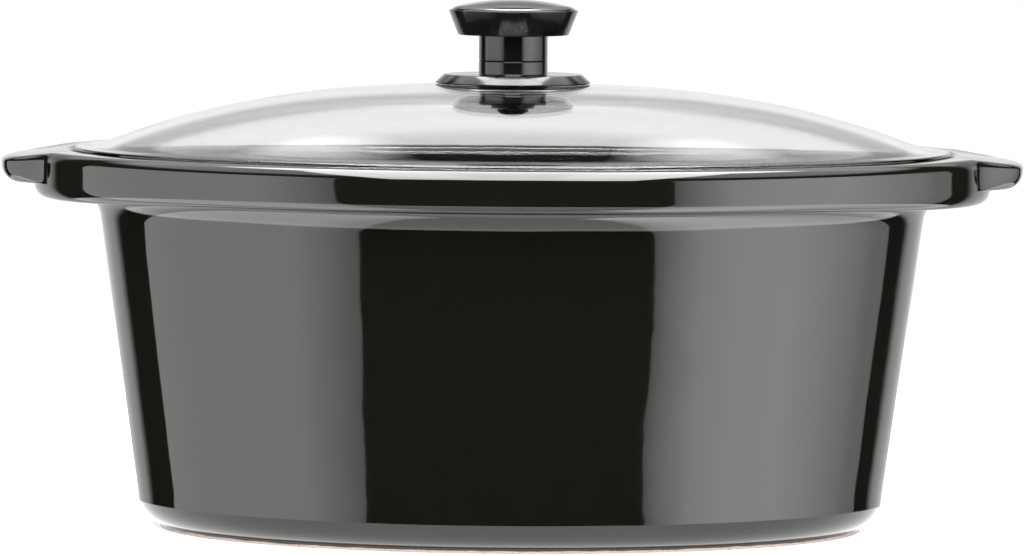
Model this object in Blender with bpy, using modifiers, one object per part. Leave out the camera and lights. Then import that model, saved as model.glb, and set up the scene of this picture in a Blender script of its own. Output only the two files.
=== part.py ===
"""Oval stoneware crock of a slow cooker, with its domed glass lid and two-part knob.

The frame is metres with +Z up. The origin is on the ground at the middle of the foot.
+X runs along the long side, from handle to handle, and -Y is the front.
"""

import math

import bmesh
import bpy

# ---- Crock ----------------------------------------------------------------------------
CROCK_HEIGHT = 0.157  # foot to the top of the lip
RIM_LENGTH = 0.397  # oval rim along X, without the handles
RIM_DEPTH = 0.302  # oval rim along Y
RIM_HEIGHT = 0.0174  # tall outer face of the rim, top of the lip to the ledge under it
RIM_EDGE_ROUND = 0.0042  # lower outer edge of the rim
LIP_ROUND = 0.0048  # top outer edge of the rim
LIP_WIDTH = 0.0152  # outer face of the rim to the recess that holds the lid
LIP_INNER_ROUND = 0.0022
SEAT_DEPTH = 0.0038  # lip down to the ledge that the lid rests on
SEAT_WIDTH = 0.009
NECK_HEIGHT = 0.012  # hollow curve from the ledge under the rim down to the wall
NECK_DEPTH = 0.0075
BODY_INSET = 0.0279  # outer face of the rim to the wall where the neck ends
WALL_TAPER = math.radians(7.8)
WALL = 0.008
FLOOR = 0.009
BASE_ROUND = 0.012  # where the outer wall turns under
INNER_BASE_ROUND = 0.026  # where the inner wall meets the floor
FOOT_WIDTH = 0.011  # unglazed ring that the crock stands on
FOOT_HEIGHT = 0.0016
FOOT_INSET_IN_ROUND = 0.76  # how far along the base round the foot starts
END_DROP = 0.0020  # the ledge under the rim is this much lower at the two ends of the oval
END_DROP_FROM = 0.60  # share of the half length where that drop begins

# ---- Handles: one lug at each end of the oval, cast in one piece with the rim ----------
HANDLE_REACH = 0.0135  # past the oval rim
HANDLE_ROOT_HALF = 0.043  # half width along Y where the lug leaves the rim
HANDLE_TIP_HALF = 0.023  # half width of its blunt tip
HANDLE_STEP = 0.0044  # the lug's underside above the ledge under the rim
HANDLE_TOP_FALL = 0.0022  # the lug's top drops this much to its tip
HANDLE_EDGE_ROUND = 0.0066
HANDLE_TOP_SOFT = 0.0040  # the lug's top edge is rounded this much further in than the rim's

# ---- Glass lid -------------------------------------------------------------------------
GLASS = 0.0045
LID_CLEARANCE = 0.0015  # all round, between the glass edge and its recess
LID_FLANGE = 0.0085  # flat border that rests on the seat
DOME_RISE = 0.0271  # flange to the middle of the dome, both on the upper side
DOME_POWER = 2.65  # over 2 is flatter in the middle and fuller at the shoulder
PAD_BLEND = 1.35  # the oval dome starts this many pad radii out from the knob's round pad
DOME_RINGS = 8
DOME_RING_SPREAD = 0.85  # under 1 sets the rings closer at the shoulder
LID_HOLE_RADIUS = 0.0050
GLASS_EDGE_ROUND = 0.0014

# ---- Knob ------------------------------------------------------------------------------
SKIRT_RADIUS = 0.0324
SKIRT_TOP_RADIUS = 0.0286
SKIRT_HEIGHT = 0.0038
SKIRT_EDGE = 0.0004  # upright band at its widest, along the foot
SKIRT_WALL = 0.0020
STEM_RADIUS = 0.0143
HUB_HEIGHT = 0.0052  # part of the stem that is one piece with the skirt
GRIP_STEM_HEIGHT = 0.0108
GRIP_LOW_RADIUS = 0.0230
GRIP_TOP_RADIUS = 0.0270
GRIP_HEIGHT = 0.0104
GRIP_EDGE_ROUND = 0.0008
GRIP_RING_WALL = 0.0011  # ring of the grip round the cap
CAP_INLET = 0.0024  # how deep the cap sits in the grip
CAP_RISE = 0.0044  # dome of the cap above the grip's edge
CAP_SHOULDER = 0.0010  # height of the cap's dome above the grip at its border
CAP_SIDE = 0.0005  # upright side of the cap above the grip
INSERT_RADIUS = 0.0040
INSERT_LENGTH = 0.0115

# ---- Fastening through the glass --------------------------------------------------------
SCREW_RADIUS = 0.0020
SCREW_ENGAGEMENT = 0.0085  # how far it turns into the insert
SCREW_HEAD_RADIUS = 0.0065
SCREW_HEAD_HEIGHT = 0.0030
SCREW_HEAD_SIDE = 0.25  # share of the head's height that is its upright side
SCREW_HEAD_POWER = 2.5
SKIRT_GASKET_RADIUS = 0.0150
SKIRT_GASKET = 0.0010
LOWER_GASKET_RADIUS = 0.0140
LOWER_GASKET = 0.0022
WASHER_RADIUS = 0.0090
WASHER = 0.0015

# ---- Fits and fineness -------------------------------------------------------------------
GAP = 0.0003  # between pieces that touch
SCREW_CLEARANCE = 0.0004
CROCK_SEGMENTS = 72
CROCK_SEGMENT_BUNCHING = 0.30  # 0 is even, more gathers the segments at the handles
LID_SEGMENTS = 56
TURNED_SEGMENTS = 32
CROWN_STEPS = 5  # along a turned dome's outline
BASE_STEPS = 5  # faces round each of the crock's two base corners
COVE_STEPS = 4  # faces down the hollow neck under the rim
EDGE_STEPS = 3  # faces round the rim's and the lugs' larger edges
FINE_STEPS = 2  # faces round a small edge
CROCK_SMOOTH_TO = math.radians(40)  # sharper edges than this stay crisp when shaded
GLASS_SMOOTH_TO = math.radians(50)
GROUND_EDGE_FROM = math.radians(60)  # the glass edges sharper than this are rounded
MERGE = 0.0001

# ---- Worked out from the above -------------------------------------------------------------
RIM_HALF_X = RIM_LENGTH / 2
RIM_HALF_Y = RIM_DEPTH / 2
SEAT_Z = CROCK_HEIGHT - SEAT_DEPTH
LID_INSET = LIP_WIDTH + LID_CLEARANCE
FLANGE_TOP_Z = SEAT_Z + GAP + GLASS
APEX_Z = FLANGE_TOP_Z + DOME_RISE
UNDER_GLASS_Z = APEX_Z - GLASS
HUB_UNDER_Z = APEX_Z + 2 * GAP + SKIRT_GASKET
SKIRT_TOP_Z = APEX_Z + SKIRT_HEIGHT
HUB_TOP_Z = SKIRT_TOP_Z + HUB_HEIGHT
GRIP_FOOT_Z = HUB_TOP_Z + GAP
GRIP_LOW_Z = GRIP_FOOT_Z + GRIP_STEM_HEIGHT
GRIP_TOP_Z = GRIP_LOW_Z + GRIP_HEIGHT
CAP_FOOT_Z = GRIP_TOP_Z - CAP_INLET
CAP_RADIUS = GRIP_TOP_RADIUS - GRIP_RING_WALL - GAP
LOWER_GASKET_Z = UNDER_GLASS_Z - GAP - LOWER_GASKET
WASHER_Z = LOWER_GASKET_Z - GAP - WASHER
SCREW_HEAD_Z = WASHER_Z - GAP
SCREW_HOLE_RADIUS = SCREW_RADIUS + SCREW_CLEARANCE


def clear_scene():
    for old in list(bpy.data.objects):
        bpy.data.objects.remove(old, do_unlink=True)


def collection(name):
    made = bpy.data.collections.new(name)
    bpy.context.scene.collection.children.link(made)
    return made


def material(name, colour, roughness, metallic=0.0, alpha=1.0):
    made = bpy.data.materials.new(name)
    made.use_nodes = True
    shader = made.node_tree.nodes["Principled BSDF"]
    shader.inputs["Base Color"].default_value = (*colour, 1.0)
    shader.inputs["Roughness"].default_value = roughness
    shader.inputs["Metallic"].default_value = metallic
    shader.inputs["Alpha"].default_value = alpha
    return made


def add_object(name, mesh, surface, place):
    made = bpy.data.objects.new(name, mesh)
    mesh.materials.append(surface)
    place.objects.link(made)
    return made


def arc(centre, radius, start, end, steps):
    """Points on a circle in the (inset or radius, height) plane. Angles are in degrees."""
    points = []
    for i in range(steps + 1):
        angle = math.radians(start + (end - start) * i / steps)
        points.append((centre[0] + radius * math.cos(angle), centre[1] + radius * math.sin(angle)))
    return points


# ---- Oval shapes -----------------------------------------------------------------------


def smooth_step(share):
    share = min(max(share, 0.0), 1.0)
    return share * share * (3 - 2 * share)


def lug_weight(y):
    """1 across a handle's tip and 0 where it has blended into the rim."""
    return 1 - smooth_step((abs(y) - HANDLE_TIP_HALF) / (HANDLE_ROOT_HALF - HANDLE_TIP_HALF))


def place_ring(ring, turn, section):
    """Moves one ring to a section: inset from the rim, height, lug reach, lug fall, end drop."""
    inset, z, reach, fall, drop = section
    for vertex in ring:
        along = math.cos(vertex[turn])
        x = (RIM_HALF_X - inset) * along
        y = (RIM_HALF_Y - inset) * math.sin(vertex[turn])
        lug = lug_weight(y)
        end = smooth_step((abs(along) - END_DROP_FROM) / (1 - END_DROP_FROM))
        vertex.co = (x + math.copysign(reach * lug, x), y, z - fall * lug - drop * end)


def oval_loft(sections, segments):
    """A closed solid from oval sections, each ring extruded from the one before."""
    bm = bmesh.new()
    turn = bm.verts.layers.float.new("turn")
    ring = bmesh.ops.create_circle(bm, cap_ends=True, radius=1.0, segments=segments)["verts"]
    for vertex in ring:
        even = math.atan2(vertex.co.y, vertex.co.x)
        vertex[turn] = even - CROCK_SEGMENT_BUNCHING * math.sin(2 * even)
    place_ring(ring, turn, sections[0])
    edges = [edge for edge in bm.edges if edge.is_boundary]
    for section in sections[1:]:
        extruded = bmesh.ops.extrude_edge_only(bm, edges=edges)["geom"]
        ring = [item for item in extruded if isinstance(item, bmesh.types.BMVert)]
        edges = [item for item in extruded if isinstance(item, bmesh.types.BMEdge)]
        place_ring(ring, turn, section)
    bmesh.ops.contextual_create(bm, geom=edges)
    bmesh.ops.recalc_face_normals(bm, faces=bm.faces)
    return bm


def wall_inset(z):
    """Outer face of the tapered wall at a height, as an inset from the rim."""
    neck_end_z = CROCK_HEIGHT - RIM_HEIGHT - NECK_HEIGHT
    return BODY_INSET + (neck_end_z - z) * math.tan(WALL_TAPER)


def crock_sections():
    """(inset, height, lug reach, lug fall, end drop) from under the base, up, over and in."""
    ledge_z = CROCK_HEIGHT - RIM_HEIGHT
    lug_under_z = ledge_z + HANDLE_STEP
    rim_round = min(RIM_EDGE_ROUND, HANDLE_STEP - GAP / 2)
    base_round_z = FOOT_HEIGHT + BASE_ROUND
    wall_foot_inset = wall_inset(base_round_z)
    foot_inset = wall_foot_inset + BASE_ROUND * FOOT_INSET_IN_ROUND
    foot_angle = -math.degrees(math.acos(1 - FOOT_INSET_IN_ROUND))

    outline = [
        (foot_inset + FOOT_WIDTH + FOOT_HEIGHT, FOOT_HEIGHT),
        (foot_inset + FOOT_WIDTH, 0.0),
        (foot_inset, 0.0),
    ]
    # Insets grow inwards, so an arc on the outer side of the wall is taken with a minus.
    corner = arc((0.0, base_round_z), BASE_ROUND, foot_angle, 0, BASE_STEPS)
    outline += [(wall_foot_inset + BASE_ROUND - x, z) for x, z in corner]
    plain = (0.0, 0.0, 0.0)
    sections = [(inset, z, *plain) for inset, z in outline]
    cove_start = math.atan(math.tan(WALL_TAPER) * NECK_HEIGHT / NECK_DEPTH)
    cove_foot = wall_inset(ledge_z - NECK_HEIGHT * (1 - math.sin(cove_start)))
    for across, up in arc((0.0, 0.0), 1.0, math.degrees(cove_start), 90, COVE_STEPS):
        inset = cove_foot - NECK_DEPTH * (math.cos(cove_start) - across)
        sections.append((inset, ledge_z - NECK_HEIGHT * (1 - up), 0.0, 0.0, END_DROP * up))

    edge = arc((0.0, 0.0), rim_round, -90, 0, EDGE_STEPS)
    for across, up in edge:
        drop = -END_DROP * up / rim_round
        sections.append((rim_round - across, ledge_z + rim_round + up, 0.0, 0.0, drop))

    under = arc((0.0, 0.0), HANDLE_EDGE_ROUND, -90, 0, EDGE_STEPS)
    for across, up in under:
        reach = HANDLE_REACH - HANDLE_EDGE_ROUND + across
        sections.append((0.0, lug_under_z + HANDLE_EDGE_ROUND + up, reach, 0.0, 0.0))
    top_edge = arc((0.0, CROCK_HEIGHT - LIP_ROUND), LIP_ROUND, 0, 90, EDGE_STEPS)
    for x, z in top_edge:
        fall = HANDLE_TOP_FALL * (z - CROCK_HEIGHT + LIP_ROUND) / LIP_ROUND
        reach = HANDLE_REACH - HANDLE_TOP_SOFT * (1 - x / LIP_ROUND)
        sections.append((LIP_ROUND - x, z, reach, fall, 0.0))

    lip = arc((0.0, CROCK_HEIGHT - LIP_INNER_ROUND), LIP_INNER_ROUND, 90, 0, FINE_STEPS)
    sections += [(LIP_WIDTH - LIP_INNER_ROUND + x, z, *plain) for x, z in lip]
    seat_end = LIP_WIDTH + SEAT_WIDTH
    sections += [(LIP_WIDTH, SEAT_Z, *plain), (seat_end, SEAT_Z, *plain)]
    sections.append((seat_end + LIP_INNER_ROUND, SEAT_Z - LIP_INNER_ROUND, *plain))

    neck_end_z = ledge_z - NECK_HEIGHT
    inner_round_z = FLOOR + INNER_BASE_ROUND
    sections.append((BODY_INSET + WALL, neck_end_z, *plain))
    inner_foot = wall_inset(inner_round_z) + WALL
    inner = arc((0.0, inner_round_z), INNER_BASE_ROUND, 180, 270, BASE_STEPS)
    sections += [(inner_foot + INNER_BASE_ROUND + x, z, *plain) for x, z in inner]
    return sections


def make_crock(place, surface):
    bm = oval_loft(crock_sections(), CROCK_SEGMENTS)
    mesh = bpy.data.meshes.new("crock")
    bm.to_mesh(mesh)
    bm.free()
    mesh.shade_smooth()
    mesh.set_sharp_from_angle(angle=CROCK_SMOOTH_TO)
    return add_object("crock", mesh, surface, place)


def make_lid_glass(place, surface):
    """The upper side of the glass as open rings, given its thickness by Solidify."""
    flange_x = RIM_HALF_X - LID_INSET
    flange_y = RIM_HALF_Y - LID_INSET
    dome_x = flange_x - LID_FLANGE
    dome_y = flange_y - LID_FLANGE
    pad = max(SKIRT_GASKET_RADIUS, LOWER_GASKET_RADIUS) + GAP
    rings = [(LID_HOLE_RADIUS, LID_HOLE_RADIUS, APEX_Z), (pad, pad, APEX_Z)]
    first_share = PAD_BLEND * pad / dome_y
    for i in range(DOME_RINGS + 1):
        share = first_share + (1 - first_share) * (i / DOME_RINGS) ** DOME_RING_SPREAD
        rings.append((dome_x * share, dome_y * share, APEX_Z - DOME_RISE * share**DOME_POWER))
    rings.append((flange_x, flange_y, FLANGE_TOP_Z))

    bm = bmesh.new()
    turn = bm.verts.layers.float.new("turn")
    ring = bmesh.ops.create_circle(bm, cap_ends=False, radius=1.0, segments=LID_SEGMENTS)["verts"]
    for vertex in ring:
        vertex[turn] = math.atan2(vertex.co.y, vertex.co.x)
    edges = list(bm.edges)
    for index, (half_x, half_y, z) in enumerate(rings):
        if index:
            extruded = bmesh.ops.extrude_edge_only(bm, edges=edges)["geom"]
            ring = [item for item in extruded if isinstance(item, bmesh.types.BMVert)]
            edges = [item for item in extruded if isinstance(item, bmesh.types.BMEdge)]
        for vertex in ring:
            vertex.co = (half_x * math.cos(vertex[turn]), half_y * math.sin(vertex[turn]), z)
    bmesh.ops.recalc_face_normals(bm, faces=bm.faces)
    if sum(face.normal.z for face in bm.faces) < 0:
        bmesh.ops.reverse_faces(bm, faces=bm.faces)
    mesh = bpy.data.meshes.new("lid_glass")
    bm.to_mesh(mesh)
    bm.free()
    mesh.shade_smooth()
    mesh.set_sharp_from_angle(angle=GLASS_SMOOTH_TO)
    lid = add_object("lid_glass", mesh, surface, place)
    wall = lid.modifiers.new("Glass", "SOLIDIFY")
    wall.thickness = GLASS
    wall.offset = -1.0
    edge = lid.modifiers.new("Ground edge", "BEVEL")
    edge.width = GLASS_EDGE_ROUND
    edge.segments = FINE_STEPS
    edge.limit_method = "ANGLE"
    edge.angle_limit = GROUND_EDGE_FROM
    return lid


# ---- Turned pieces -----------------------------------------------------------------------


def turned(name, profile, surface, place, ring=False):
    """A piece turned about Z. The profile runs top to bottom; a ring's profile is closed."""
    count = len(profile)
    edges = [(i, i + 1) for i in range(count - 1)]
    if ring:
        edges.append((count - 1, 0))
    mesh = bpy.data.meshes.new(name)
    mesh.from_pydata([(radius, 0.0, z) for radius, z in profile], edges, [])
    made = add_object(name, mesh, surface, place)
    screw = made.modifiers.new("Turn", "SCREW")
    screw.steps = TURNED_SEGMENTS
    screw.render_steps = TURNED_SEGMENTS
    screw.use_merge_vertices = True
    screw.merge_threshold = MERGE
    screw.use_smooth_shade = True
    return made


def washer_profile(inner, outer, low, high):
    return [(inner, high), (outer, high), (outer, low), (inner, low)]


def make_knob(place, plastic, gloss_plastic, brass):
    turned("knob_skirt", [
        (SCREW_HOLE_RADIUS, HUB_TOP_Z),
        (STEM_RADIUS, HUB_TOP_Z),
        (STEM_RADIUS, SKIRT_TOP_Z),
        (SKIRT_TOP_RADIUS, SKIRT_TOP_Z),
        (SKIRT_RADIUS, APEX_Z + SKIRT_EDGE),
        (SKIRT_RADIUS - SKIRT_EDGE, APEX_Z),
        (SKIRT_RADIUS - SKIRT_WALL, APEX_Z),
        (SKIRT_TOP_RADIUS - SKIRT_WALL, HUB_UNDER_Z),
        (SCREW_HOLE_RADIUS, HUB_UNDER_Z),
    ], plastic, place, ring=True)

    pocket = INSERT_RADIUS + GAP
    pocket_top_z = GRIP_FOOT_Z + INSERT_LENGTH + 2 * GAP
    recess = CAP_RADIUS + GAP
    edge_centre = (GRIP_TOP_RADIUS - GRIP_EDGE_ROUND, GRIP_TOP_Z - GRIP_EDGE_ROUND)
    turned("knob_grip", [
        (0.0, CAP_FOOT_Z),
        (recess, CAP_FOOT_Z),
        (recess, GRIP_TOP_Z),
        *arc(edge_centre, GRIP_EDGE_ROUND, 90, 0, FINE_STEPS),
        (GRIP_LOW_RADIUS, GRIP_LOW_Z),
        (STEM_RADIUS, GRIP_LOW_Z),
        (STEM_RADIUS, GRIP_FOOT_Z),
        (pocket, GRIP_FOOT_Z),
        (pocket, pocket_top_z),
        (0.0, pocket_top_z),
    ], plastic, place)

    dome = []
    for i in range(CROWN_STEPS):
        share = i / CROWN_STEPS
        height = GRIP_TOP_Z + CAP_RISE - (CAP_RISE - CAP_SHOULDER) * share**2
        dome.append((CAP_RADIUS * share, height))
    turned("knob_cap", [
        *dome,
        (CAP_RADIUS, GRIP_TOP_Z + CAP_SIDE),
        (CAP_RADIUS, CAP_FOOT_Z + GAP),
        (0.0, CAP_FOOT_Z + GAP),
    ], gloss_plastic, place)

    insert_low_z = GRIP_FOOT_Z + GAP
    turned("knob_insert", washer_profile(
        SCREW_HOLE_RADIUS, INSERT_RADIUS, insert_low_z, insert_low_z + INSERT_LENGTH,
    ), brass, place, ring=True)


def make_fastening(place, silicone, steel):
    turned("skirt_gasket", washer_profile(
        SCREW_HOLE_RADIUS, SKIRT_GASKET_RADIUS, APEX_Z + GAP, APEX_Z + GAP + SKIRT_GASKET,
    ), silicone, place, ring=True)
    turned("lid_hole_sleeve", washer_profile(
        SCREW_HOLE_RADIUS, LID_HOLE_RADIUS - GAP, UNDER_GLASS_Z, APEX_Z,
    ), silicone, place, ring=True)
    turned("lower_gasket", washer_profile(
        SCREW_HOLE_RADIUS, LOWER_GASKET_RADIUS, LOWER_GASKET_Z, LOWER_GASKET_Z + LOWER_GASKET,
    ), silicone, place, ring=True)
    turned("backing_washer", washer_profile(
        SCREW_HOLE_RADIUS, WASHER_RADIUS, WASHER_Z, WASHER_Z + WASHER,
    ), steel, place, ring=True)

    shank_top_z = GRIP_FOOT_Z + GAP + SCREW_ENGAGEMENT
    crown = SCREW_HEAD_HEIGHT * (1 - SCREW_HEAD_SIDE)
    head = []
    for i in range(CROWN_STEPS, -1, -1):
        share = i / CROWN_STEPS
        height = SCREW_HEAD_Z - SCREW_HEAD_HEIGHT + crown * share**SCREW_HEAD_POWER
        head.append((SCREW_HEAD_RADIUS * share, height))
    turned("lid_screw", [
        (0.0, shank_top_z),
        (SCREW_RADIUS, shank_top_z),
        (SCREW_RADIUS, SCREW_HEAD_Z),
        (SCREW_HEAD_RADIUS, SCREW_HEAD_Z),
        *head,
    ], steel, place)


def main():
    clear_scene()
    parts = collection("slow_cooker_crock")
    black_glaze = material("black_glaze", (0.011, 0.011, 0.010), 0.08)
    clear_glass = material("clear_glass", (0.80, 0.86, 0.83), 0.02, alpha=0.3)
    black_plastic = material("black_plastic", (0.009, 0.009, 0.010), 0.22)
    gloss_plastic = material("gloss_plastic", (0.012, 0.012, 0.013), 0.08)
    black_silicone = material("black_silicone", (0.015, 0.015, 0.015), 0.5)
    brass = material("brass", (0.60, 0.42, 0.16), 0.3, metallic=1.0)
    steel = material("steel", (0.55, 0.55, 0.56), 0.25, metallic=1.0)
    make_crock(parts, black_glaze)
    make_lid_glass(parts, clear_glass)
    make_knob(parts, black_plastic, gloss_plastic, brass)
    make_fastening(parts, black_silicone, steel)


main()
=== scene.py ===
# %% [markdown]
# # An oval stoneware crock with a domed glass lid
# The object is the inner pot of a slow cooker: a heavy oval crock cast in stoneware and glazed
# black, a pressed glass lid, and a two-part plastic knob screwed through the glass. Nearly all
# that the eye reads here is reflection, so the shapes are smooth, the finishes are glossy, and
# the studio round them is laid out as carefully as the pieces are.
#
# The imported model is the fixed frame. It gives the boxes of the pieces, and every finer piece
# below is made to fit them.

# %% Load the frame
import math

import bmesh
import bpy
from mathutils import Matrix, Vector


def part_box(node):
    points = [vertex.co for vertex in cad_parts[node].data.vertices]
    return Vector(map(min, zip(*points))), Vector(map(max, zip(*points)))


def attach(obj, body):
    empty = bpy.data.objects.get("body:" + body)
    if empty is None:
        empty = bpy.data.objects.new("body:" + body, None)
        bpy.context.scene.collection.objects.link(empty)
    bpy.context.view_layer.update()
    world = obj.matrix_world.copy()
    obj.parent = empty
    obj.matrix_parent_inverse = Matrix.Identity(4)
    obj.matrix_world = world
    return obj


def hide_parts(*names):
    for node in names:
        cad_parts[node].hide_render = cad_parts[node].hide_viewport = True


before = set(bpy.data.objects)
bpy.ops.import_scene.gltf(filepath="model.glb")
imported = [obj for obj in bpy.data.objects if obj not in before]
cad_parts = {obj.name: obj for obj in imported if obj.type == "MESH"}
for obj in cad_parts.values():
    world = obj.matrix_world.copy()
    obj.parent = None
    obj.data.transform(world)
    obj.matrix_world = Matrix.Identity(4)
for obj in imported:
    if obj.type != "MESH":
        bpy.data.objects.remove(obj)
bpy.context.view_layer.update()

# %% [markdown]
# ## Small tools
# Colours are written as the hex values that a colour picker shows, and Blender's shaders want
# linear light, so one function turns the one into the other. One more adds any shader node with
# its settings and its links, which keeps each material below to a few lines.

# %% Colour and node helpers
MM = 0.001


def linear(hex_colour, alpha=1.0):
    """A hex colour as the linear RGBA that a shader socket takes."""
    parts = [int(hex_colour[i:i + 2], 16) / 255 for i in (1, 3, 5)]
    return (*[c / 12.92 if c <= 0.04045 else ((c + 0.055) / 1.055) ** 2.4 for c in parts], alpha)


def add_node(tree, kind, settings=None, **sockets):
    """Adds a node. A socket is given a value, or the output socket that it is linked to."""
    node = tree.nodes.new(kind)
    for name, value in (settings or {}).items():
        setattr(node, name, value)
    for name, value in sockets.items():
        key = int(name[1:]) if name[0] == "_" and name[1:].isdigit() else name.replace("_", " ")
        if isinstance(value, bpy.types.NodeSocket):
            tree.links.new(value, node.inputs[key])
        else:
            node.inputs[key].default_value = value
    return node


def new_finish(name):
    """An empty material with its Principled shader and its Object coordinates."""
    finish = bpy.data.materials.new(name)
    finish.use_nodes = True
    tree = finish.node_tree
    shader = tree.nodes["Principled BSDF"]
    place = add_node(tree, "ShaderNodeTexCoord").outputs["Object"]
    return finish, tree, shader, place


def noise(tree, place, size, detail=2.0, **more):
    """Noise whose lumps are about size metres across."""
    made = add_node(tree, "ShaderNodeTexNoise", Vector=place, Scale=1 / size, Detail=detail, **more)
    return made.outputs["Fac"]


def remap(tree, value, low, high, to_low, to_high, smooth=False):
    kind = {"interpolation_type": "SMOOTHSTEP"} if smooth else {}
    made = add_node(
        tree, "ShaderNodeMapRange", kind,
        Value=value, From_Min=low, From_Max=high, To_Min=to_low, To_Max=to_high,
    )
    return made.outputs["Result"]


def blend_colours(tree, share, first, second):
    made = add_node(tree, "ShaderNodeMix", {"data_type": "RGBA"}, _0=share, _6=first, _7=second)
    return made.outputs[2]


def arithmetic(tree, operation, first, second):
    return add_node(
        tree, "ShaderNodeMath", {"operation": operation}, _0=first, _1=second,
    ).outputs[0]


print("mid grey in linear light:", [round(c, 3) for c in linear("#808080")])

# %% [markdown]
# ## The camera
# A long lens stands well back and a little above the lip, so the oval looks almost flat and the
# handles keep their true size. It is turned very slightly about its own axis.

# %% Camera
LENS = 220.2
CAMERA_PLACE = Vector((0.0002, -2.6, 0.294))
CAMERA_PITCH = math.radians(4.18)
CAMERA_ROLL = math.radians(0.44)

camera = bpy.data.objects.new("camera", bpy.data.cameras.new("camera"))
camera.data.lens = LENS
camera.data.sensor_width = 36.0
camera.data.clip_start = 0.05
camera.data.clip_end = 100.0
looking = Matrix.Rotation(math.pi / 2 - CAMERA_PITCH, 4, "X") @ Matrix.Rotation(CAMERA_ROLL, 4, "Z")
camera.matrix_world = Matrix.Translation(CAMERA_PLACE) @ looking
bpy.context.scene.collection.objects.link(camera)
bpy.context.scene.camera = camera
bpy.context.scene.view_settings.view_transform = "Standard"
print("field of view:", round(math.degrees(camera.data.angle), 2), "degrees")

# %% [markdown]
# ## The studio
# A glossy black pot shows the room more than itself. The room here is a white backdrop, a broad
# softbox at each side that reaches well below the table, a third one over the camera, a
# fourth overhead just behind it, and darkness between them. The world gives the backdrop: white
# where it is looked at or seen through glass, and for reflections bright behind the pot and
# dark on the camera's side.

# %% World
BACKDROP = 1.05
FRONT_DARK = 0.018
AMBIENT = 0.55
SIDE_GLOW = 2.6
SIDE_GLOW_HEIGHT = (0.60, 0.70)  # the glow comes in between these heights of a direction
SIDE_GLOW_OUT = (0.09, 0.16)  # and this far to either side
BEHIND_FROM = (0.64, 0.76)  # how far back a direction points where the front gives way

world = bpy.data.worlds.new("studio")
bpy.context.scene.world = world
world.use_nodes = True
tree = world.node_tree
tree.nodes.clear()
direction = add_node(tree, "ShaderNodeTexCoord").outputs["Generated"]
axes = add_node(tree, "ShaderNodeSeparateXYZ", Vector=direction).outputs
path = add_node(tree, "ShaderNodeLightPath").outputs


def strength_ramp(tree, value, stops):
    """A strength read off a list of (height of the direction, strength), smoothed between them."""
    most = max(strength for _, strength in stops)
    ramp = add_node(tree, "ShaderNodeValToRGB", _0=remap(tree, value, -1.0, 1.0, 0.0, 1.0))
    ramp.color_ramp.interpolation = "EASE"
    points = ramp.color_ramp.elements
    for index, (height, strength) in enumerate(stops):
        point = points[index] if index < 2 else points.new((height + 1) / 2)
        point.position = (height + 1) / 2
        point.color = (*[strength / most] * 3, 1.0)
    return arithmetic(tree, "MULTIPLY", ramp.outputs[0], most)


# Each stop is the sine of a direction's height over the horizon and how bright it is there.
BEHIND = [
    (-1.0, 1.0), (0.20, 1.0), (0.29, 0.58), (0.41, 0.60), (0.47, 1.2), (0.80, 1.2), (0.93, 0.6),
]
BEFORE = [
    (-1.0, 1.9), (-0.62, 2.3), (-0.55, 2.8), (-0.50, 2.9), (-0.46, FRONT_DARK), (1.0, FRONT_DARK),
]
behind = strength_ramp(tree, axes["Z"], BEHIND)
before = strength_ramp(tree, axes["Z"], BEFORE)
is_behind = remap(tree, axes["Y"], *BEHIND_FROM, 0.0, 1.0, smooth=True)


def choose(tree, share, first, second):
    return add_node(
        tree, "ShaderNodeMix", {"data_type": "FLOAT"}, _0=share, _2=first, _3=second,
    ).outputs[0]


# High up at both sides the room glows too, so that the rounded lip has no black stripe there.
upper = remap(tree, axes["Z"], *SIDE_GLOW_HEIGHT, 0.0, SIDE_GLOW)
sideways = arithmetic(tree, "ABSOLUTE", axes["X"], 0.0)
outer = remap(tree, sideways, *SIDE_GLOW_OUT, 0.0, 1.0)
mirrored = choose(tree, is_behind, before, behind)
mirrored = arithmetic(tree, "MAXIMUM", mirrored, arithmetic(tree, "MULTIPLY", upper, outer))
# A ray that has only passed through glass sees the backdrop. One that was mirrored on the way
# sees the studio, also through glass.
straight = arithmetic(tree, "LESS_THAN", path["Glossy Depth"], 0.5)
not_lit = arithmetic(tree, "LESS_THAN", path["Diffuse Depth"], 0.5)
unmirrored = arithmetic(tree, "MULTIPLY", straight, not_lit)
through = arithmetic(tree, "MULTIPLY", path["Is Transmission Ray"], unmirrored)
seen = arithmetic(tree, "MAXIMUM", path["Is Camera Ray"], through)
specular = arithmetic(tree, "MAXIMUM", path["Is Glossy Ray"], path["Is Transmission Ray"])
unseen = choose(tree, specular, AMBIENT, mirrored)
strength = choose(tree, seen, unseen, BACKDROP)
glow = add_node(tree, "ShaderNodeBackground", Color=linear("#ffffff"), Strength=strength)
add_node(tree, "ShaderNodeOutputWorld", Surface=glow.outputs[0])
print("world nodes:", len(tree.nodes))

# %% Softboxes
POT_MIDDLE = Vector((0, 0, 0.1))
# Elevations from and to, distance, and how bright the box is at each azimuth. 0 is the front.
SIDE_ELEVATIONS = (-21.5, 77.0)
SOFTBOXES = {
    "left softbox": (SIDE_ELEVATIONS, 1.7, [
        (-108.0, 2.1), (-100.0, 2.4), (-86.0, 2.8), (-68.0, 3.2), (-50.0, 3.4), (-37.5, 2.2),
        (-32.5, 1.5),
    ]),
    "right softbox": (SIDE_ELEVATIONS, 1.7, [
        (30.6, 1.3), (34.0, 2.4), (42.0, 4.1), (52.0, 4.7), (68.0, 4.6), (89.0, 2.8),
        (105.0, 1.4), (115.0, 1.0),
    ]),
    "top softbox": ((23.0, 97.0), 2.4, [(-26.0, 13.0), (0.0, 14.0), (26.0, 13.0)]),
    "overhead softbox": ((97.5, 119.0), 2.6, [(-22.0, 13.0), (0.0, 14.0), (22.0, 13.0)]),
}


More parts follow.
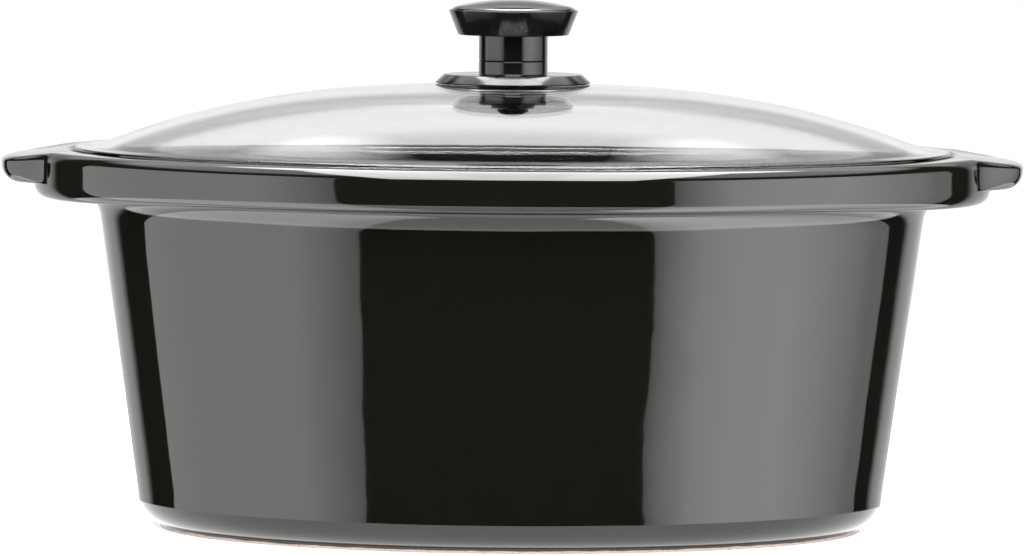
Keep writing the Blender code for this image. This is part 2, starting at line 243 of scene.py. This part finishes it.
def add_softbox(name, elevations, distance, stops):
    """A flat softbox that fills a span of directions seen from the pot."""
    first, last = stops[0][0], stops[-1][0]
    middle, half = math.radians((first + last) / 2), math.radians((last - first) / 2)
    low, high = (math.radians(e) for e in elevations)
    tilt = (low + high) / 2 if low > 0 else 0.0
    towards = Vector((
        math.sin(middle) * math.cos(tilt), -math.cos(middle) * math.cos(tilt), math.sin(tilt),
    ))
    across = Vector((math.cos(middle), math.sin(middle), 0.0))
    up = towards.cross(across) * -1
    bottom, top = distance * math.tan(low - tilt), distance * math.tan(high - tilt)
    light = bpy.data.lights.new(name, "AREA")
    light.shape = "RECTANGLE"
    light.size = 2 * distance * math.tan(half)
    light.size_y = top - bottom
    most = max(strength for _, strength in stops)
    light.energy = most * math.pi * light.size * light.size_y
    light.use_nodes = True
    tree = light.node_tree
    along = add_node(tree, "ShaderNodeNewGeometry").outputs["Parametric"]
    along = add_node(tree, "ShaderNodeSeparateXYZ", Vector=along).outputs["X"]
    ramp = add_node(tree, "ShaderNodeValToRGB", _0=along)
    points = ramp.color_ramp.elements
    for index, (azimuth, strength) in enumerate(stops):
        share = 0.5 + math.tan(math.radians(azimuth) - middle) / math.tan(half) / 2
        point = points[index] if index < 2 else points.new(share)
        point.position = share
        point.color = (*[strength / most] * 3, 1.0)
    tree.links.new(ramp.outputs[0], tree.nodes["Emission"].inputs["Color"])
    lamp = bpy.data.objects.new(name, light)
    facing = Matrix((across, up, towards)).transposed().to_4x4()
    middle_point = POT_MIDDLE + towards * distance + up * (top + bottom) / 2
    lamp.matrix_world = Matrix.Translation(middle_point) @ facing
    lamp.visible_camera = False
    # Through the lid only the box over the camera is seen, so the glass stays clear.
    lamp.visible_transmission = name == "top softbox"
    bpy.context.scene.collection.objects.link(lamp)
    print(name, "is", round(light.size, 2), "by", round(light.size_y, 2), "m")
    return lamp


for title, (elevations, away, stops) in SOFTBOXES.items():
    add_softbox(title, elevations, away, stops)

# %% [markdown]
# The floor is a pale sheet. It fades out into the white of the backdrop, and it is left out of
# reflections, as if the pot stood on a small table with nothing in front of it. A small second
# sheet, seen only in reflections, is that table's top: it gives the pale band along the foot.

# %% Floor and table top
FLOOR_REACH = 1.4
FLOOR_FADE = (0.45, 0.98)  # shares of that reach where it begins and ends to fade
FLOOR_Z = -0.2 * MM
PAPER_GLOW = 0.45
TABLE_HALF = (0.185, 0.142)
TABLE_Z = -0.1 * MM
TABLE_GLOW = 2.3
DISC_SEGMENTS = 96


def add_disc(name, half_x, half_y, z, finish):
    bm = bmesh.new()
    bmesh.ops.create_circle(bm, cap_ends=True, radius=1.0, segments=DISC_SEGMENTS)
    bmesh.ops.scale(bm, vec=(half_x, half_y, 1.0), verts=bm.verts)
    bmesh.ops.translate(bm, vec=(0, 0, z), verts=bm.verts)
    mesh = bpy.data.meshes.new(name)
    bm.to_mesh(mesh)
    bm.free()
    mesh.materials.append(finish)
    disc = bpy.data.objects.new(name, mesh)
    bpy.context.scene.collection.objects.link(disc)
    return disc


paper = bpy.data.materials.new("white seamless paper")
paper.use_nodes = True
tree = paper.node_tree
sheet = tree.nodes["Principled BSDF"]
sheet.inputs["Base Color"].default_value = linear("#f4f4f3")
sheet.inputs["Roughness"].default_value = 0.9
place = add_node(tree, "ShaderNodeTexCoord").outputs["Object"]
far = add_node(tree, "ShaderNodeVectorMath", {"operation": "LENGTH"}, _0=place).outputs["Value"]
fade_from, fade_to = (share * FLOOR_REACH for share in FLOOR_FADE)
fade = remap(tree, far, fade_from, fade_to, 0.0, 1.0, smooth=True)
gone = add_node(tree, "ShaderNodeBsdfTransparent")
sheet.inputs["Emission Color"].default_value = linear("#ffffff")
sheet.inputs["Emission Strength"].default_value = PAPER_GLOW
mixed = add_node(tree, "ShaderNodeMixShader", _0=fade, _1=sheet.outputs[0], _2=gone.outputs[0])
tree.links.new(mixed.outputs[0], tree.nodes["Material Output"].inputs["Surface"])
floor = add_disc("floor", FLOOR_REACH, FLOOR_REACH, FLOOR_Z, paper)
floor.visible_glossy = False

table_glow = bpy.data.materials.new("lit table top")
table_glow.use_nodes = True
tree = table_glow.node_tree
tree.nodes.remove(tree.nodes["Principled BSDF"])
lit = add_node(tree, "ShaderNodeEmission", Color=linear("#ffffff"), Strength=TABLE_GLOW)
tree.links.new(lit.outputs[0], tree.nodes["Material Output"].inputs["Surface"])
table_top = add_disc("table top", *TABLE_HALF, TABLE_Z, table_glow)
for ray in ("camera", "diffuse", "transmission", "shadow", "volume_scatter"):
    setattr(table_top, "visible_" + ray, False)
print("stage pieces:", floor.name, table_top.name)

# %% [markdown]
# ## Black glaze
# Stoneware is fired at about 1200 degrees with a coat of glass on it, a fraction of a millimetre
# thick. The glass runs while it is hot, so the surface is mirror-smooth close up and gently
# uneven over a few centimetres, and straight reflections come out slightly wavy. The foot ring
# is wiped clean before firing, or the pot would stick to the kiln shelf: it shows bare cream
# clay with a wavering glaze line. A bump gives the unevenness, and the height above the table
# splits glaze from clay.

# %% Stoneware finish
WAVE = 56 * MM  # glaze runs: distance between the broad swells
RIPPLE = 13 * MM  # smaller ripples on them
PEEL = 2.6 * MM  # faint orange peel
SPECK = 0.9 * MM  # iron specks in the clay
GLAZE_LINE = 0.7 * MM  # where the glaze is wiped off, above the table
GLAZE_LINE_WAVER = 0.9 * MM
WAVER_SIZE = 9 * MM
GLAZE_LINE_BLUR = 0.3 * MM
GLAZE_RELIEF = 0.55 * MM
RIPPLE_SHARE = 0.05  # of the broad swells' relief
PEEL_SHARE = 0.003
GLAZE_PATCH = 12 * MM
SPECK_FROM = (0.60, 0.66)
GLAZE_ROUGHNESS = 0.045
CLAY_ROUGHNESS = 0.85

stoneware, tree, shader, place = new_finish("glazed black stoneware")
swell = noise(tree, place, WAVE, detail=1.5)
peel = noise(tree, place, PEEL)
ripple = noise(tree, place, RIPPLE)
relief = arithmetic(tree, "ADD", swell, arithmetic(tree, "MULTIPLY", ripple, RIPPLE_SHARE))
relief = arithmetic(tree, "ADD", relief, arithmetic(tree, "MULTIPLY", peel, PEEL_SHARE))
bump = add_node(tree, "ShaderNodeBump", Strength=1.0, Distance=GLAZE_RELIEF, Height=relief)
height = add_node(tree, "ShaderNodeSeparateXYZ", Vector=place).outputs["Z"]
waver = arithmetic(tree, "MULTIPLY", noise(tree, place, WAVER_SIZE), GLAZE_LINE_WAVER)
line = arithmetic(tree, "SUBTRACT", height, waver)
bare = remap(tree, line, GLAZE_LINE - GLAZE_LINE_BLUR, GLAZE_LINE, 1.0, 0.0)
patches = noise(tree, place, GLAZE_PATCH)
glaze_colour = blend_colours(tree, patches, linear("#060604"), linear("#080806"))
specks = remap(tree, noise(tree, place, SPECK), *SPECK_FROM, 0.0, 1.0)
clay_colour = blend_colours(tree, specks, linear("#a3938a"), linear("#85766c"))
colour = blend_colours(tree, bare, glaze_colour, clay_colour)
tree.links.new(colour, shader.inputs["Base Color"])
rough = remap(tree, bare, 0.0, 1.0, GLAZE_ROUGHNESS, CLAY_ROUGHNESS)
tree.links.new(rough, shader.inputs["Roughness"])
tree.links.new(bump.outputs[0], shader.inputs["Normal"])
shader.inputs["IOR"].default_value = 1.52
print("glaze swells every", WAVE / MM, "mm")

# %% [markdown]
# ## Glass, plastics, rubber and metals
# The lid is pressed soda-lime glass, clear with a trace of iron green. The knob is moulded in
# black thermoset plastic with a slightly softer shine than its polished cap. The seals are black
# silicone, the screw and washer are blackened steel and the insert is brass.

# %% Lid glass
PRESS_SIZE = 22 * MM
PRESS_RELIEF = 0.015 * MM
lid_glass, tree, shader, place = new_finish("pressed soda-lime glass")
shader.inputs["Base Color"].default_value = linear("#fbfdfc")
shader.inputs["Roughness"].default_value = 0.0
shader.inputs["IOR"].default_value = 1.52
shader.inputs["Transmission Weight"].default_value = 1.0
press = noise(tree, place, PRESS_SIZE, detail=1.0)
bump = add_node(tree, "ShaderNodeBump", Strength=1.0, Distance=PRESS_RELIEF, Height=press)
tree.links.new(bump.outputs[0], shader.inputs["Normal"])
print("glass index", round(shader.inputs["IOR"].default_value, 2))

# %% Plain solid finishes
# name: colour, second colour, lump size, roughness low, high, metallic, bump in mm
SOLID_FINISHES = {
    "moulded black phenolic": ("#060606", "#080808", 4 * MM, 0.10, 0.16, 0.0, 0.004),
    "polished black plastic": ("#060607", "#080809", 9 * MM, 0.03, 0.05, 0.0, 0.002),
    "black silicone rubber": ("#151515", "#1b1b1b", 3 * MM, 0.35, 0.50, 0.0, 0.010),
    "blackened steel": ("#2c2c2c", "#383838", 1.5 * MM, 0.22, 0.34, 1.0, 0.003),
    "machined brass": ("#c9a35a", "#d1ad68", 1.5 * MM, 0.22, 0.34, 1.0, 0.003),
}


def solid_finish(name, first, second, size, rough_low, rough_high, metallic, relief_mm):
    finish, tree, shader, place = new_finish(name)
    patches = noise(tree, place, size)
    colour = blend_colours(tree, patches, linear(first), linear(second))
    tree.links.new(colour, shader.inputs["Base Color"])
    rough = remap(tree, patches, 0.35, 0.65, rough_low, rough_high)
    tree.links.new(rough, shader.inputs["Roughness"])
    bump = add_node(
        tree, "ShaderNodeBump", Strength=1.0, Distance=relief_mm * MM,
        Height=noise(tree, place, size / 3),
    )
    tree.links.new(bump.outputs[0], shader.inputs["Normal"])
    shader.inputs["Metallic"].default_value = metallic
    return finish


finishes = {name: solid_finish(name, *values) for name, values in SOLID_FINISHES.items()}
moulded = finishes["moulded black phenolic"].node_tree.nodes["Principled BSDF"]
moulded.inputs["Specular IOR Level"].default_value = 0.42
polished = finishes["polished black plastic"].node_tree.nodes["Principled BSDF"]
polished.inputs["IOR"].default_value = 1.65
finishes["glazed black stoneware"] = stoneware
finishes["pressed soda-lime glass"] = lid_glass
print("finishes:", ", ".join(finishes))

# %% [markdown]
# ## How a piece is finished
# Every piece goes through one function: it turns the bmesh into an object, smooths the shading
# except across true edges, gives it its finish, hangs it under the empty of the body that it moves
# with, and hides the CAD node that it stands for.

# %% Finishing helper
SHARP = math.radians(38)


def finish_piece(bm, name, body, node, finish):
    mesh = bpy.data.meshes.new(name)
    bm.to_mesh(mesh)
    bm.free()
    mesh.shade_smooth()
    mesh.set_sharp_from_angle(angle=SHARP)
    mesh.materials.append(finishes[finish])
    piece = bpy.data.objects.new(name, mesh)
    bpy.context.scene.collection.objects.link(piece)
    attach(piece, body)
    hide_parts(node)
    print(name, "has", len(mesh.polygons), "faces")
    return piece


def arc(radius, start, end, steps):
    """Points on a circle round (0, 0). Angles are in degrees."""
    turns = [math.radians(start + (end - start) * i / steps) for i in range(steps + 1)]
    return [(radius * math.cos(turn), radius * math.sin(turn)) for turn in turns]


def smooth_step(share):
    share = min(max(share, 0.0), 1.0)
    return share * share * (3 - 2 * share)


# %% [markdown]
# ## The crock
# The real crock is cast in a plaster mould: one thick-walled shell with a tall rim, a hollow
# neck under it, a stepped seat for the lid, and a blunt lug at each end. It could be sculpted or
# cut from a block, but every level of it is an oval, so it is lofted: one circle of edges is
# moved to the oval of the foot, then extruded again and again, up the outside, over the lip and
# down the inside. Each ring is an inset from the rim, a height, and how far the lugs reach.

# %% Crock sizes
HANDLE_REACH = 13.5 * MM
HANDLE_ROOT_HALF = 43 * MM
HANDLE_TIP_HALF = 23 * MM
HANDLE_STEP = 4.4 * MM
HANDLE_TOP_FALL = 2.2 * MM
HANDLE_EDGE_ROUND = 6.6 * MM
HANDLE_TOP_SOFT = 4.0 * MM
RIM_HEIGHT = 17.4 * MM
RIM_EDGE_ROUND = 4.2 * MM
LIP_ROUND = 4.8 * MM
LIP_WIDTH = 15.2 * MM
LIP_INNER_ROUND = 2.2 * MM
SEAT_DEPTH = 3.8 * MM
SEAT_WIDTH = 9 * MM
NECK_HEIGHT = 12 * MM
NECK_DEPTH = 7.5 * MM
BODY_INSET = 27.9 * MM
WALL_TAPER = math.radians(7.8)
WALL = 8 * MM
FLOOR = 9 * MM
BASE_ROUND = 12 * MM
INNER_BASE_ROUND = 26 * MM
FOOT_WIDTH = 11 * MM
FOOT_HEIGHT = 1.6 * MM
FOOT_INSET_IN_ROUND = 0.76
END_DROP = 2.0 * MM
END_DROP_FROM = 0.60
CROCK_SEGMENTS = 320
SEGMENT_BUNCHING = 0.30  # gathers the segments at the lugs, where the oval turns fastest
GAP = 0.3 * MM  # between pieces that touch

# Rings laid along each stretch of the outline
BASE_STEPS = 14
OUTER_WALL_STEPS = 22
COVE_STEPS = 14
UNDER_RIM_STEPS = 5
RIM_EDGE_STEPS = 8
LUG_EDGE_STEPS = 10
LUG_SIDE_STEPS = 3
LIP_STEPS = 12
LIP_TOP_STEPS = 6
LIP_INNER_STEPS = 6
SEAT_STEPS = 3
SEAT_EDGE_STEPS = 5
INNER_WALL_STEPS = 12

crock_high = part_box("crock")[1]
CROCK_HEIGHT = crock_high.z
RIM_HALF_X = crock_high.x - HANDLE_REACH
RIM_HALF_Y = crock_high.y
ledge_z = CROCK_HEIGHT - RIM_HEIGHT
neck_end_z = ledge_z - NECK_HEIGHT
seat_z = CROCK_HEIGHT - SEAT_DEPTH
print("rim oval", round(2 * RIM_HALF_X, 4), "by", round(2 * RIM_HALF_Y, 4), "m")
print("lip at", round(CROCK_HEIGHT, 4), "m")


# %% Ovals with lugs
def place_ring(ring, turn, section):
    """Moves one ring to a section: inset, height, lug reach, lug fall, drop at the ends."""
    inset, z, reach, fall, drop = section
    for vertex in ring:
        along = math.cos(vertex[turn])
        x = (RIM_HALF_X - inset) * along
        y = (RIM_HALF_Y - inset) * math.sin(vertex[turn])
        lug = 1 - smooth_step((abs(y) - HANDLE_TIP_HALF) / (HANDLE_ROOT_HALF - HANDLE_TIP_HALF))
        end = smooth_step((abs(along) - END_DROP_FROM) / (1 - END_DROP_FROM))
        vertex.co = (x + math.copysign(reach * lug, x), y, z - fall * lug - drop * end)


def start_ring(bm, segments, bunching=0.0, cap=False):
    """A circle of edges, each vertex with its turn round the oval in a layer."""
    turn = bm.verts.layers.float.new("turn")
    made = bmesh.ops.create_circle(bm, cap_ends=cap, radius=1.0, segments=segments)
    for vertex in made["verts"]:
        even = math.atan2(vertex.co.y, vertex.co.x)
        vertex[turn] = even - bunching * math.sin(2 * even)
    return turn, made["verts"]


def next_ring(bm, edges):
    made = bmesh.ops.extrude_edge_only(bm, edges=edges)["geom"]
    ring = [item for item in made if isinstance(item, bmesh.types.BMVert)]
    return ring, [item for item in made if isinstance(item, bmesh.types.BMEdge)]


# %% Levels of the crock
def wall_inset(z):
    return BODY_INSET + (neck_end_z - z) * math.tan(WALL_TAPER)


def steps_between(first, last, count):
    """Sections from one to the other, both left out."""
    return [
        tuple(a + (b - a) * i / (count + 1) for a, b in zip(first, last))
        for i in range(1, count + 1)
    ]


def crock_sections():
    """(inset, height, lug reach, lug fall, end drop) from under the base, up, over and in."""
    lug_under_z = ledge_z + HANDLE_STEP
    rim_round = min(RIM_EDGE_ROUND, HANDLE_STEP - GAP / 2)
    base_z = FOOT_HEIGHT + BASE_ROUND
    wall_foot = wall_inset(base_z)
    foot_inset = wall_foot + BASE_ROUND * FOOT_INSET_IN_ROUND
    foot_angle = -math.degrees(math.acos(1 - FOOT_INSET_IN_ROUND))
    plain = (0.0, 0.0, 0.0)
    made = [
        (foot_inset + FOOT_WIDTH + FOOT_HEIGHT, FOOT_HEIGHT, *plain),
        (foot_inset + FOOT_WIDTH, 0.0, *plain),
        (foot_inset, 0.0, *plain),
    ]
    for x, z in arc(BASE_ROUND, foot_angle, 0, BASE_STEPS):
        made.append((wall_foot + BASE_ROUND - x, base_z + z, *plain))
    cove_start = math.atan(math.tan(WALL_TAPER) * NECK_HEIGHT / NECK_DEPTH)
    cove_foot_z = ledge_z - NECK_HEIGHT * (1 - math.sin(cove_start))
    cove_foot = wall_inset(cove_foot_z)
    made += steps_between(made[-1], (cove_foot, cove_foot_z, *plain), OUTER_WALL_STEPS)
    for across, up in arc(1.0, math.degrees(cove_start), 90, COVE_STEPS):
        inset = cove_foot - NECK_DEPTH * (math.cos(cove_start) - across)
        made.append((inset, ledge_z - NECK_HEIGHT * (1 - up), 0.0, 0.0, END_DROP * up))
    rim_foot = (rim_round, ledge_z, 0.0, 0.0, END_DROP)
    made += steps_between(made[-1], rim_foot, UNDER_RIM_STEPS)
    for across, up in arc(rim_round, -90, 0, RIM_EDGE_STEPS):
        drop = -END_DROP * up / rim_round
        made.append((rim_round - across, ledge_z + rim_round + up, 0.0, 0.0, drop))
    for across, up in arc(HANDLE_EDGE_ROUND, -90, 0, LUG_EDGE_STEPS):
        reach = HANDLE_REACH - HANDLE_EDGE_ROUND + across
        made.append((0.0, lug_under_z + HANDLE_EDGE_ROUND + up, reach, 0.0, 0.0))
    top_foot = (0.0, CROCK_HEIGHT - LIP_ROUND, HANDLE_REACH, 0.0, 0.0)
    made += steps_between(made[-1], top_foot, LUG_SIDE_STEPS)
    for across, up in arc(LIP_ROUND, 0, 90, LIP_STEPS):
        fall = HANDLE_TOP_FALL * up / LIP_ROUND
        reach = HANDLE_REACH - HANDLE_TOP_SOFT * (1 - across / LIP_ROUND)
        made.append((LIP_ROUND - across, CROCK_HEIGHT - LIP_ROUND + up, reach, fall, 0.0))
    lip_inner = (LIP_WIDTH - LIP_INNER_ROUND, CROCK_HEIGHT, *plain)
    made += steps_between(made[-1], lip_inner, LIP_TOP_STEPS)
    for x, z in arc(LIP_INNER_ROUND, 90, 0, LIP_INNER_STEPS):
        made.append((LIP_WIDTH - LIP_INNER_ROUND + x, CROCK_HEIGHT - LIP_INNER_ROUND + z, *plain))
    seat_end = LIP_WIDTH + SEAT_WIDTH
    made.append((LIP_WIDTH, seat_z, *plain))
    made += steps_between(made[-1], (seat_end, seat_z, *plain), SEAT_STEPS)
    for x, z in arc(LIP_INNER_ROUND, 90, 0, SEAT_EDGE_STEPS):
        made.append((seat_end + x, seat_z - LIP_INNER_ROUND + z, *plain))
    made.append((BODY_INSET + WALL, neck_end_z, *plain))
    inner_z = FLOOR + INNER_BASE_ROUND
    inner_foot = wall_inset(inner_z) + WALL
    made += steps_between(made[-1], (inner_foot, inner_z, *plain), INNER_WALL_STEPS)
    for x, z in arc(INNER_BASE_ROUND, 180, 270, BASE_STEPS):
        made.append((inner_foot + INNER_BASE_ROUND + x, inner_z + z, *plain))
    return made


# %% Loft the crock
bm = bmesh.new()
turn, ring = start_ring(bm, CROCK_SEGMENTS, SEGMENT_BUNCHING, cap=True)
edges = [edge for edge in bm.edges if edge.is_boundary]
sections = crock_sections()
place_ring(ring, turn, sections[0])
for section in sections[1:]:
    ring, edges = next_ring(bm, edges)
    place_ring(ring, turn, section)
bmesh.ops.contextual_create(bm, geom=edges)
bmesh.ops.recalc_face_normals(bm, faces=bm.faces)
finish_piece(bm, "stoneware_crock", "crock", "crock", "glazed black stoneware")

# %% [markdown]
# ## The glass lid
# A gob of molten glass is pressed into a dome with a flat border, and its edge is ground round.
# Only the upper side is drawn here, ring by ring from the hole outwards: flat under the knob,
# then a dome fuller at its shoulder than a circle would be, then a border in one soft curve with
# it. Solidify gives the pressed thickness and Bevel the ground edge. Light has to bend through
# both faces for the thin bright and dark lines near its foot, so the wall is real.

# %% Lid sizes
GLASS = 4.5 * MM
LID_FLANGE = 8.5 * MM
DOME_POWER = 2.65
DOME_FOOT_CURVE = 1.3 * MM  # how softly the dome runs into its flat border
LID_HOLE_RADIUS = 5.0 * MM
GLASS_EDGE_ROUND = 1.4 * MM
PAD_RADIUS = 15.3 * MM
PAD_INNER_RINGS = (8 * MM, 11.5 * MM)
PAD_BLEND = 1.35  # the oval dome starts this many pad radii out
PAD_BLEND_RINGS = 4
DOME_RINGS = 54
DOME_RING_SPREAD = 0.85  # under 1 sets the rings closer at the shoulder
BORDER_RINGS = 8
GROUND_EDGE_STEPS = 5
GROUND_EDGE_FROM = math.radians(60)
LID_SEGMENTS = 256

lid_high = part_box("lid_glass")[1]
apex_z = lid_high.z
flange_z = seat_z + GAP + GLASS
dome_rise = apex_z - flange_z
dome_half = (lid_high.x - LID_FLANGE, lid_high.y - LID_FLANGE)
print("dome rises", round(dome_rise / MM, 1), "mm over a border at", round(flange_z / MM, 1))


# %% Lid dome
def dome_height(share):
    """Height over the border at a share of the way out, the dome's foot blended in."""
    straight = dome_rise * (1 - share**DOME_POWER)
    return (straight + math.hypot(straight, DOME_FOOT_CURVE)) / 2


def lid_rings():
    pad = (LID_HOLE_RADIUS, *PAD_INNER_RINGS, PAD_RADIUS)
    made = [(radius, radius, apex_z) for radius in pad]
    first = PAD_BLEND * PAD_RADIUS / dome_half[1]
    border = LID_FLANGE / dome_half[1]
    for i in range(1, PAD_BLEND_RINGS + 1):
        mix = i / PAD_BLEND_RINGS
        share = first * mix
        half = [PAD_RADIUS + (reach * first - PAD_RADIUS) * mix for reach in dome_half]
        made.append((*half, flange_z + dome_height(share)))
    for i in range(1, DOME_RINGS + 1):
        share = first + (1 - first) * (i / DOME_RINGS) ** DOME_RING_SPREAD
        made.append((dome_half[0] * share, dome_half[1] * share, flange_z + dome_height(share)))
    for i in range(1, BORDER_RINGS + 1):
        out = LID_FLANGE * i / BORDER_RINGS
        height = dome_height(1 + border * i / BORDER_RINGS) * (1 - i / BORDER_RINGS)
        made.append((dome_half[0] + out, dome_half[1] + out, flange_z + height))
    return made


bm = bmesh.new()
turn, ring = start_ring(bm, LID_SEGMENTS)
edges = list(bm.edges)
for index, (half_x, half_y, z) in enumerate(lid_rings()):
    if index:
        ring, edges = next_ring(bm, edges)
    for vertex in ring:
        vertex.co = (half_x * math.cos(vertex[turn]), half_y * math.sin(vertex[turn]), z)
bmesh.ops.recalc_face_normals(bm, faces=bm.faces)
if sum(face.normal.z for face in bm.faces) < 0:
    bmesh.ops.reverse_faces(bm, faces=bm.faces)
lid = finish_piece(bm, "pressed_glass_lid", "lid", "lid_glass", "pressed soda-lime glass")
wall = lid.modifiers.new("Pressed thickness", "SOLIDIFY")
wall.thickness = GLASS
wall.offset = -1.0
edge_round = lid.modifiers.new("Ground edge", "BEVEL")
edge_round.width = GLASS_EDGE_ROUND
edge_round.segments = GROUND_EDGE_STEPS
edge_round.limit_method = "ANGLE"
edge_round.angle_limit = GROUND_EDGE_FROM
lid.visible_shadow = False  # light goes through glass

# %% [markdown]
# ## The knob and its fastening
# These are all turned shapes: moulded or machined round one axis. Each is drawn as half of its
# outline, spun round, and its true edges are bevelled to the small round that a mould leaves. A
# plain primitive would have edges too sharp to catch any light.


# %% Turning helper
TURN_STEPS = 96
EDGE_STEPS = 4
WELD = 0.01 * MM
AXIS_CLEAR = 0.5 * MM  # edges nearer the axis than this are left as they are


def turned(profile, edge_round, closed=False, steps=TURN_STEPS, segments=EDGE_STEPS):
    """A bmesh spun from a profile of (radius, height) points in millimetres."""
    bm = bmesh.new()
    points = [bm.verts.new((radius * MM, 0.0, z * MM)) for radius, z in profile]
    pairs = list(zip(points, points[1:]))
    if closed:
        pairs.append((points[-1], points[0]))
    edges = [bm.edges.new(pair) for pair in pairs]
    bmesh.ops.spin(
        bm, geom=points + edges, cent=(0, 0, 0), axis=(0, 0, 1), dvec=(0, 0, 0),
        angle=2 * math.pi, steps=steps, use_merge=True,
    )
    bmesh.ops.remove_doubles(bm, verts=bm.verts, dist=WELD)
    bmesh.ops.recalc_face_normals(bm, faces=bm.faces)
    corners = [
        edge for edge in bm.edges
        if edge.is_manifold and edge.calc_face_angle() > SHARP and min(
            math.hypot(vertex.co.x, vertex.co.y) for vertex in edge.verts
        ) > AXIS_CLEAR
    ]
    if edge_round and corners:
        bmesh.ops.bevel(
            bm, geom=corners, offset=edge_round * MM, offset_type="OFFSET", segments=segments,
            profile=0.5, affect="EDGES", clamp_overlap=True, material=-1,
        )
    return bm


def heights(node):
    low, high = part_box(node)
    return low.z / MM, high.z / MM


def dome_profile(radius, edge_z, top_z, power, count):
    """Points of a low dome, from its middle out to just short of its edge."""
    return [
        (radius * i / count, top_z - (top_z - edge_z) * (i / count) ** power)
        for i in range(count)
    ]


skirt_low = heights("knob_skirt")[0]
grip_low, grip_high = heights("knob_grip")
cap_low, cap_high = heights("knob_cap")
apex = apex_z / MM
print("knob stands", round(cap_high - skirt_low, 1), "mm over the glass")

# %% Skirt, grip and cap
# Radii and heights in mm. An edge round is the small radius that a mould leaves.
SCREW_HOLE = 2.4
STEM = 14.3
SKIRT_RADIUS = 32.4
SKIRT_TOP_RADIUS = 28.6
SKIRT_FOOT = (32.0, 30.4)  # outer and inner radius of the ring that it stands on
SKIRT_HOLLOW = 27.0
SKIRT_HEIGHT = 3.8
SKIRT_EDGE = 0.4
SKIRT_EDGE_ROUND = 0.35
SEAL_ROOM = 1.6  # from the glass up to the skirt's underside
JOINT_GROOVE = 0.05  # the real joint is closed: only a fine groove shows
GRIP_LOW_RADIUS = 23.0
GRIP_TOP_RADIUS = 27.0
GRIP_STEM_HEIGHT = 10.8
GRIP_EDGE_ROUND = 0.45
INSERT_POCKET = (4.3, 12.1)  # radius and depth
CAP_RECESS = 25.9
CAP_GAP = 0.3
CAP_SIDE = 0.5
CAP_SHOULDER = 0.5
CAP_POWER = 2.0
CAP_RINGS = 16
CAP_EDGE_ROUND = 0.25

hub_under = apex + SEAL_ROOM
hub_top = grip_low - JOINT_GROOVE
skirt_top = skirt_low + SKIRT_HEIGHT
bm = turned([
    (SCREW_HOLE, hub_top), (STEM, hub_top), (STEM, skirt_top), (SKIRT_TOP_RADIUS, skirt_top),
    (SKIRT_RADIUS, skirt_low + SKIRT_EDGE), *[(radius, skirt_low) for radius in SKIRT_FOOT],
    (SKIRT_HOLLOW, hub_under), (SCREW_HOLE, hub_under),
], SKIRT_EDGE_ROUND, closed=True)
finish_piece(
    bm, "knob_skirt_moulding", "lid", "knob_skirt", "moulded black phenolic",
)

grip_foot = grip_low + GRIP_STEM_HEIGHT
recess_floor = cap_low - CAP_GAP
pocket, pocket_depth = INSERT_POCKET
pocket_top = grip_low + pocket_depth
bm = turned([
    (0.0, recess_floor), (CAP_RECESS, recess_floor), (CAP_RECESS, grip_high),
    (GRIP_TOP_RADIUS, grip_high), (GRIP_LOW_RADIUS, grip_foot), (STEM, grip_foot),
    (STEM, grip_low), (pocket, grip_low), (pocket, pocket_top), (0.0, pocket_top),
], GRIP_EDGE_ROUND)
finish_piece(
    bm, "knob_grip_moulding", "lid", "knob_grip", "moulded black phenolic",
)

CAP_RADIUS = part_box("knob_cap")[1].x / MM
cap_edge = grip_high + CAP_SIDE
bm = turned([
    *dome_profile(CAP_RADIUS, cap_edge + CAP_SHOULDER, cap_high, CAP_POWER, CAP_RINGS),
    (CAP_RADIUS, cap_edge), (CAP_RADIUS, cap_low), (0.0, cap_low),
], CAP_EDGE_ROUND)
finish_piece(bm, "knob_cap_disc", "lid", "knob_cap", "polished black plastic")

# %% Seals, washer and screw
RINGS = {
    # piece: node, slot, finish, inner and outer radius, round
    "skirt_seal": ("skirt_gasket", "silicone", "black silicone rubber", SCREW_HOLE, 15.0, 0.25),
    "hole_sleeve": ("lid_hole_sleeve", "silicone", "black silicone rubber", SCREW_HOLE, 4.7, 0.15),
    "lower_seal": ("lower_gasket", "silicone", "black silicone rubber", SCREW_HOLE, 14.0, 0.6),
    "steel_washer": ("backing_washer", "steel", "blackened steel", SCREW_HOLE, 9.0, 0.35),
}
for piece, (node, slot, finish, inner, outer, edge_round) in RINGS.items():
    low, high = heights(node)
    bm = turned([(inner, high), (outer, high), (outer, low), (inner, low)], edge_round, closed=True)
    finish_piece(bm, piece, "lid", node, finish)

SCREW_RADIUS = 2.0
SCREW_TIP = (1.6, 0.5)  # radius of its end and length of the chamfer
SCREW_HEAD_RADIUS = 6.5
SCREW_HEAD_HEIGHT = 3.0
SCREW_CROWN = 2.2  # how much of the head's height is domed
SCREW_CROWN_POWER = 2.5
SCREW_CROWN_RINGS = 10
SCREW_EDGE_ROUND = 0.2

screw_low, screw_high = heights("lid_screw")
head_top = screw_low + SCREW_HEAD_HEIGHT
head = []
for i in range(SCREW_CROWN_RINGS, -1, -1):
    share = i / SCREW_CROWN_RINGS
    head.append((SCREW_HEAD_RADIUS * share, screw_low + SCREW_CROWN * share**SCREW_CROWN_POWER))
tip, chamfer = SCREW_TIP
bm = turned([
    (0.0, screw_high), (tip, screw_high), (SCREW_RADIUS, screw_high - chamfer),
    (SCREW_RADIUS, head_top), (SCREW_HEAD_RADIUS, head_top), *head,
], SCREW_EDGE_ROUND)
finish_piece(bm, "lid_screw_turned", "lid", "lid_screw", "blackened steel")
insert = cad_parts["knob_insert"]
insert.data.materials.clear()
insert.data.materials.append(finishes["machined brass"])
